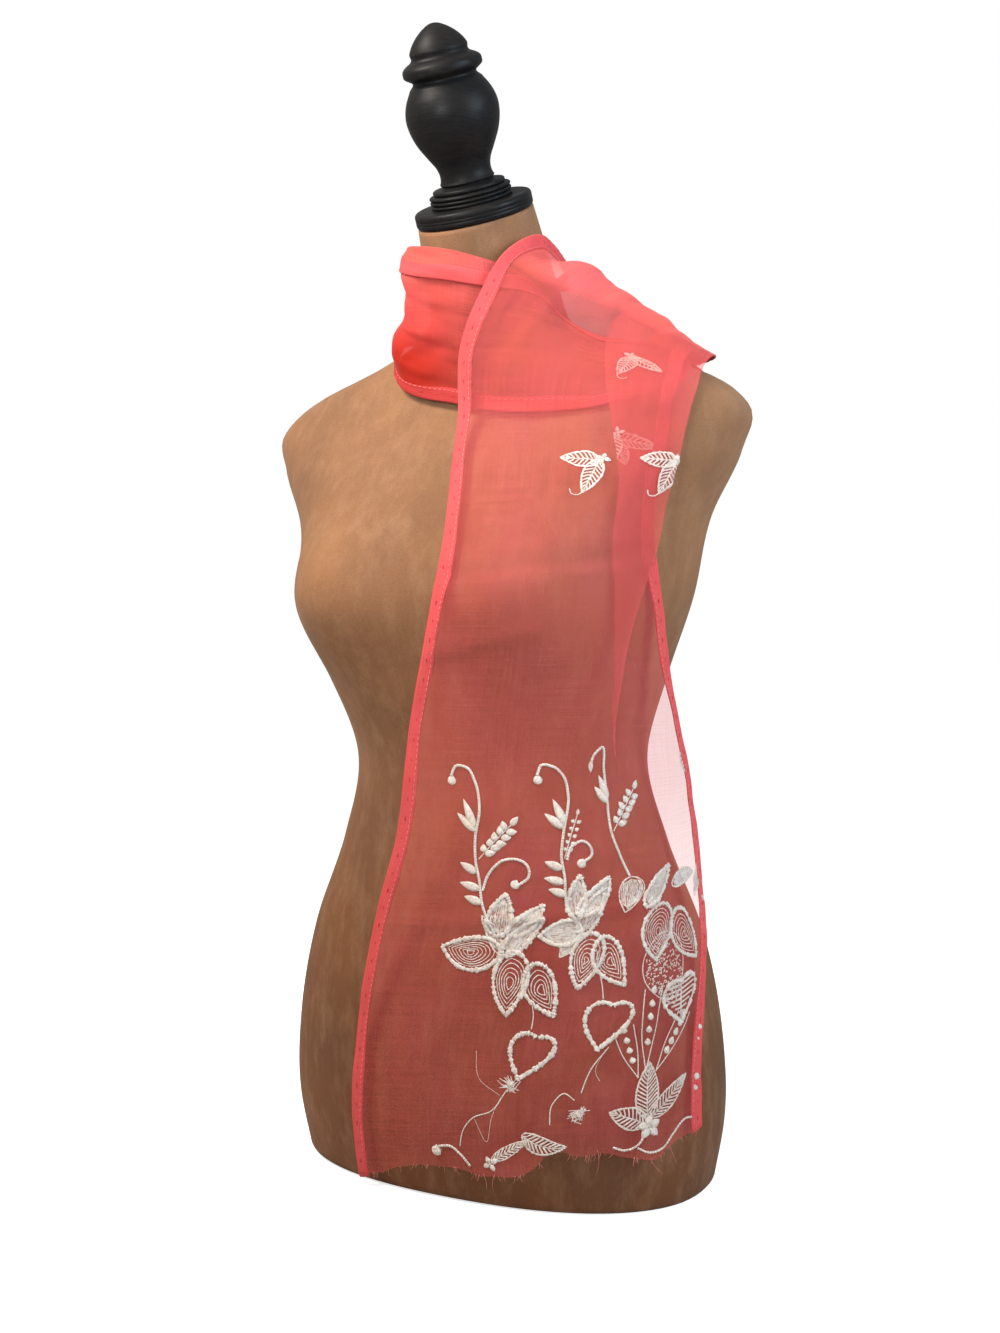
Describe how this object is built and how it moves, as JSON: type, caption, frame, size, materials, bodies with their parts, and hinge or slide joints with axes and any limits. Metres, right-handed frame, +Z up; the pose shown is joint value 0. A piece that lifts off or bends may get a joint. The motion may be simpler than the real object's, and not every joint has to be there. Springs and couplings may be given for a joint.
{
  "type": "chiffon scarf on dress form",
  "caption": "Sheer embroidered scarf wound round the neck of a limbless dress form, its embroidered end hanging down the front and its plain end down the back.",
  "frame": {"origin": "centre of the dress form's flat underside", "axes": "+Z up along the form, -Y towards the form's front, +X towards the form's own left"},
  "size_m": [0.3924, 0.2683, 0.8347],
  "materials": {
    "form_body": "matt brown suede cloth",
    "neck_cap": "satin black stain",
    "finial": "satin black stain",
    "front_tail": "sheer coral chiffon, soft sheen",
    "tail_left_hem": "folded hem, matt",
    "tail_right_hem": "folded hem, matt",
    "neck_wrap": "sheer coral chiffon, soft sheen",
    "wrap_top_hem": "folded hem, matt",
    "neck_band": "sheer coral chiffon, soft sheen",
    "band_lower_hem": "folded hem, matt",
    "back_tail": "sheer coral chiffon, soft sheen",
    "back_left_hem": "folded hem, matt",
    "back_right_hem": "folded hem, matt"
  },
  "bodies": {
    "root": {"form_body": "form_body", "neck_cap": "neck_cap", "finial": "finial", "front_tail": "front_tail", "tail_left_hem": "tail_left_hem", "tail_right_hem": "tail_right_hem", "neck_wrap": "neck_wrap", "wrap_top_hem": "wrap_top_hem", "neck_band": "neck_band", "band_lower_hem": "band_lower_hem", "back_tail": "back_tail", "back_left_hem": "back_left_hem", "back_right_hem": "back_right_hem"}
  },
  "joints": []
}
